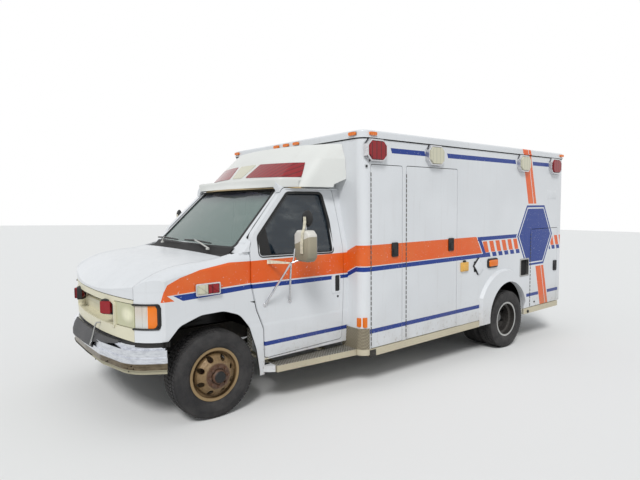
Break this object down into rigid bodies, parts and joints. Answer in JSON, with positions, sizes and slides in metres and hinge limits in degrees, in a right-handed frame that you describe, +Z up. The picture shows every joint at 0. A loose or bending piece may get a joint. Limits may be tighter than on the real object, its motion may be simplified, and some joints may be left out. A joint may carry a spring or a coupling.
{
  "type": "box ambulance",
  "caption": "Box-bodied ambulance on a cutaway van chassis with twin rear wheels, outside lockers, a raised roof fairing with lamps, and opening doors and hood.",
  "frame": {"origin": "on the ground, under the middle of the vehicle's length and width", "axes": "+X forward, +Y to the vehicle's left, +Z up"},
  "size_m": [6.4914, 2.79, 2.6034],
  "materials": {
    "body_paint": "gloss white paint with stripes",
    "cab_paint": "gloss white paint with stripes",
    "nose_paint": "cream paint, satin",
    "bright_trim": "dull aluminium",
    "diamond_plate": "raised tread plate",
    "chrome_trim": "worn bright plating",
    "clear_glass": "clear glass",
    "dark_glass": "tinted glass",
    "red_lens": "moulded lens",
    "clear_lens": "moulded lens",
    "amber_lens": "moulded lens",
    "tyre_rubber": "worn rubber",
    "front_steel": "rusty steel",
    "rear_steel": "dull steel",
    "chassis_black": "flat black, dusty",
    "cast_grey": "rough casting",
    "tank_steel": "dull steel",
    "cab_vinyl": "grained vinyl",
    "dash_plastic": "grained plastic",
    "wheel_plastic": "moulded grip",
    "inside_white": "laminate",
    "fairing_white": "glass fibre moulding"
  },
  "bodies": {
    "body": {"cab_shell": "cab_paint", "engine_block": "cast_grey", "windshield": "dark_glass", "nose_panel": "nose_paint", "front_fenders": "cab_paint", "front_bumper": "nose_paint", "cowl": "dash_plastic", "roof_fairing": "fairing_white", "side_walls": "body_paint", "end_walls": "body_paint", "module_roof": "body_paint", "module_floor": "inside_white", "locker_boxes": "bright_trim", "wheel_flares": "body_paint", "body_rails": "bright_trim", "red_lamps": "red_lens", "clear_lamps": "clear_lens", "amber_lamps": "amber_lens", "running_boards": "bright_trim", "rear_step": "diamond_plate", "chassis_frame": "chassis_black", "crossmembers": "chassis_black", "front_axle": "chassis_black", "rear_axle": "chassis_black", "fuel_tank": "tank_steel", "exhaust": "tank_steel", "cab_seats": "cab_vinyl", "dashboard": "dash_plastic", "module_furniture": "inside_white"},
    "hood": {"hood": "cab_paint"},
    "left_cab_door": {"cab_door_left": "cab_paint", "cab_glass_left": "clear_glass", "mirror_left": "body_paint"},
    "right_cab_door": {"cab_door_right": "cab_paint", "cab_glass_right": "clear_glass", "mirror_right": "body_paint"},
    "left_front_locker": {"locker_door_left_front": "body_paint"},
    "left_middle_locker": {"locker_door_left_middle": "body_paint"},
    "left_rear_locker": {"locker_door_left_rear": "body_paint"},
    "right_rear_locker": {"locker_door_right_rear": "body_paint"},
    "side_entry": {"entry_door": "body_paint", "entry_glass": "dark_glass"},
    "left_rear_door": {"rear_door_left": "body_paint", "rear_glass_left": "dark_glass"},
    "right_rear_door": {"rear_door_right": "body_paint", "rear_glass_right": "dark_glass"},
    "left_knuckle": {"knuckle_left": "chassis_black"},
    "right_knuckle": {"knuckle_right": "chassis_black"},
    "left_front_wheel": {"wheel_front_left": "front_steel", "tyre_front_left": "tyre_rubber"},
    "right_front_wheel": {"wheel_front_right": "front_steel", "tyre_front_right": "tyre_rubber"},
    "left_rear_wheels": {"wheels_rear_left": "rear_steel", "tyres_rear_left": "tyre_rubber"},
    "right_rear_wheels": {"wheels_rear_right": "rear_steel", "tyres_rear_right": "tyre_rubber"},
    "steering": {"steering_wheel": "wheel_plastic"}
  },
  "joints": [
    {"name": "hood_hinge", "type": "hinge", "parent": "body", "child": "hood", "pos_m": [2.39505, 0, 1.3446], "axis": [0, -1, 0], "range_deg": [0, 50]},
    {"name": "left_cab_door_hinge", "type": "hinge", "parent": "body", "child": "left_cab_door", "pos_m": [2.15471, 1.008, 0.90866], "axis": [-0.0258, 0, -0.9997], "range_deg": [0, 68]},
    {"name": "right_cab_door_hinge", "type": "hinge", "parent": "body", "child": "right_cab_door", "pos_m": [2.15471, -1.008, 0.90866], "axis": [0.0258, 0, 0.9997], "range_deg": [0, 68]},
    {"name": "left_front_locker_hinge", "type": "hinge", "parent": "body", "child": "left_front_locker", "pos_m": [0.9539, 1.221, 1.2798], "axis": [-0.0258, 0, -0.9997], "range_deg": [0, 105]},
    {"name": "left_middle_locker_hinge", "type": "hinge", "parent": "body", "child": "left_middle_locker", "pos_m": [0.44506, 1.221, 1.29295], "axis": [-0.0258, 0, -0.9997], "range_deg": [0, 105]},
    {"name": "left_rear_locker_hinge", "type": "hinge", "parent": "body", "child": "left_rear_locker", "pos_m": [-2.07765, 1.221, 0.988], "axis": [-0.0258, 0, -0.9997], "range_deg": [0, 105]},
    {"name": "right_rear_locker_hinge", "type": "hinge", "parent": "body", "child": "right_rear_locker", "pos_m": [-2.07765, -1.221, 0.988], "axis": [0.0258, 0, 0.9997], "range_deg": [0, 105]},
    {"name": "side_entry_hinge", "type": "hinge", "parent": "body", "child": "side_entry", "pos_m": [0.44506, -1.221, 1.29295], "axis": [0.0258, 0, 0.9997], "range_deg": [0, 95]},
    {"name": "left_rear_door_hinge", "type": "hinge", "parent": "body", "child": "left_rear_door", "pos_m": [-2.96515, 0.64, 1.56112], "axis": [-0.0258, 0, -0.9997], "range_deg": [0, 105]},
    {"name": "right_rear_door_hinge", "type": "hinge", "parent": "body", "child": "right_rear_door", "pos_m": [-2.96515, -0.64, 1.56112], "axis": [0.0258, 0, 0.9997], "range_deg": [0, 105]},
    {"name": "steer_left", "type": "hinge", "parent": "body", "child": "left_knuckle", "pos_m": [2.47835, 0.752, 0.368], "axis": [0, 0, 1], "range_deg": [-32, 32]},
    {"name": "steer_right", "type": "hinge", "parent": "body", "child": "right_knuckle", "pos_m": [2.47835, -0.752, 0.368], "axis": [0, 0, 1], "range_deg": [-32, 32]},
    {"name": "left_front_wheel_spin", "type": "hinge", "parent": "left_knuckle", "child": "left_front_wheel", "pos_m": [2.47835, 0.877, 0.368], "axis": [0, 1, -0.007], "continuous": true},
    {"name": "right_front_wheel_spin", "type": "hinge", "parent": "right_knuckle", "child": "right_front_wheel", "pos_m": [2.47835, -0.877, 0.368], "axis": [0, 1, 0.007], "continuous": true},
    {"name": "left_rear_wheels_spin", "type": "hinge", "parent": "body", "child": "left_rear_wheels", "pos_m": [-1.53465, 0.989, 0.368], "axis": [0, 1, 0], "continuous": true},
    {"name": "right_rear_wheels_spin", "type": "hinge", "parent": "body", "child": "right_rear_wheels", "pos_m": [-1.53465, -0.989, 0.368], "axis": [0, 1, 0], "continuous": true},
    {"name": "steering_wheel_turn", "type": "hinge", "parent": "body", "child": "steering", "pos_m": [1.79113, 0.56, 1.27818], "axis": [-0.7256, 0, 0.6881], "range_deg": [-480, 480]}
  ],
  "couplings": [
    {"joint": "steer_right", "follows": "steer_left", "ratio": 1},
    {"joint": "steering_wheel_turn", "follows": "steer_left", "ratio": 15}
  ]
}
